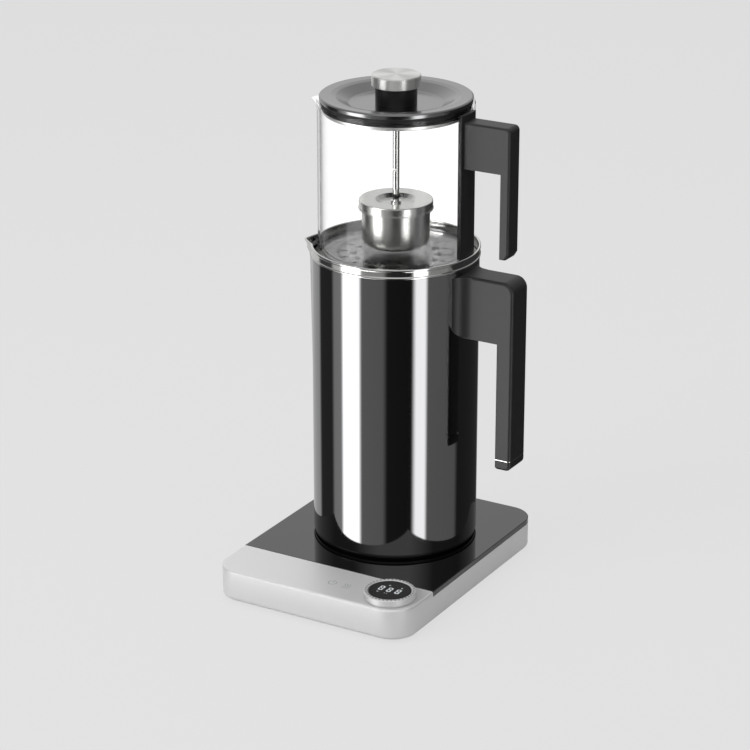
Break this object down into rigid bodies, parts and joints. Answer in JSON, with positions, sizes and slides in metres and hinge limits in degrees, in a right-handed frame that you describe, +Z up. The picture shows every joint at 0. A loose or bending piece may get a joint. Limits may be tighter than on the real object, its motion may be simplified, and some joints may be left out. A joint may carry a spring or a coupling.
{
  "type": "automatic tea maker",
  "caption": "Electric tea maker: glass teapot with hanging infuser standing on a tall steel kettle, on a flat base with a glass plate and a turning display dial.",
  "frame": {"origin": "middle of the whole object's footprint box, on the surface that the feet stand on", "axes": "+Z up, +X towards the handles, -Y towards the front panel with the dial"},
  "size_m": [0.1942, 0.2206, 0.4022],
  "materials": {
    "silver_aluminium": "fine-blasted, anodised",
    "black_glass": "polished black glass",
    "dark_steel": "dark polished steel",
    "bright_steel": "polished steel",
    "brushed_steel": "brushed steel",
    "clear_glass": "clear borosilicate glass",
    "handle_plastic": "fine matte moulding",
    "black_plastic": "moulded",
    "rubber": "silicone rubber",
    "fixings": "zinc plated",
    "heater_metal": "cast",
    "element_sheath": "drawn tube",
    "contacts": "stamped",
    "circuit_board": "solder mask",
    "components": "moulded"
  },
  "bodies": {
    "base": {"base_housing": "silver_aluminium", "glass_plate": "black_glass", "bottom_cover": "black_plastic", "rubber_feet": "rubber", "housing_screws": "fixings", "cord_gland": "black_plastic", "control_board": "circuit_board", "power_board": "circuit_board", "power_relay": "components", "power_capacitor": "components", "board_screws": "fixings", "touch_sensors": "components", "buzzer": "components", "encoder_pickup": "black_plastic", "push_switch": "components", "base_connector": "black_plastic", "connector_contacts": "contacts"},
    "dial_carrier": {"display_carrier": "black_plastic", "display_lens": "black_glass", "display_module": "components"},
    "dial": {"dial_ring": "silver_aluminium", "encoder_magnets": "contacts"},
    "kettle": {"kettle_body": "dark_steel", "kettle_rim": "bright_steel", "kettle_spout": "dark_steel", "kettle_foot_pan": "black_plastic", "foot_pan_screws": "fixings", "heating_plate": "heater_metal", "heating_element": "element_sheath", "temperature_sensor": "element_sheath", "kettle_connector": "black_plastic", "kettle_contacts": "contacts", "kettle_handle_core": "handle_plastic", "kettle_handle_cover": "handle_plastic", "kettle_handle_cap": "handle_plastic", "kettle_handle_seam": "bright_steel", "kettle_handle_bracket": "fixings", "kettle_handle_screws": "fixings"},
    "steam_lid": {"steam_plate": "bright_steel"},
    "teapot": {"pot_glass": "clear_glass", "pot_handle_strap": "handle_plastic", "pot_handle": "handle_plastic", "pot_handle_screws": "fixings"},
    "pot_lid": {"lid_plate": "dark_steel", "lid_skirt": "bright_steel", "lid_seal": "rubber", "knob_neck": "handle_plastic", "knob_cap": "brushed_steel", "knob_stud": "bright_steel", "upper_rod": "bright_steel", "rod_nut": "bright_steel"},
    "infuser": {"lower_rod": "bright_steel", "infuser_lid": "brushed_steel"},
    "infuser_cup": {"infuser_cup": "brushed_steel"}
  },
  "joints": [
    {"name": "kettle_lift", "type": "slide", "parent": "base", "child": "kettle", "axis": [0, 0, 1], "range_m": [0, 0.03]},
    {"name": "steam_lid_lift", "type": "slide", "parent": "kettle", "child": "steam_lid", "axis": [0, 0, 1], "range_m": [0, 0.025]},
    {"name": "teapot_lift", "type": "slide", "parent": "steam_lid", "child": "teapot", "axis": [0, 0, 1], "range_m": [0, 0.03]},
    {"name": "pot_lid_lift", "type": "slide", "parent": "teapot", "child": "pot_lid", "axis": [0, 0, 1], "range_m": [0, 0.13]},
    {"name": "infuser_unhook", "type": "slide", "parent": "pot_lid", "child": "infuser", "axis": [0, -1, 0], "range_m": [0, 0.012]},
    {"name": "cup_twist", "type": "hinge", "parent": "infuser", "child": "infuser_cup", "pos_m": [-0.0118, 0.02675, 0.2956], "axis": [0, 0, 1], "range_deg": [0, 25]},
    {"name": "dial_press", "type": "slide", "parent": "base", "child": "dial_carrier", "axis": [0, 0, -1], "range_m": [0, 0.001], "stiffness_N_per_m": 1500, "springref_m": -0.001},
    {"name": "dial_turn", "type": "hinge", "parent": "dial_carrier", "child": "dial", "pos_m": [0.0496, -0.08825, 0.0276], "axis": [0, 0, 1], "continuous": true}
  ]
}
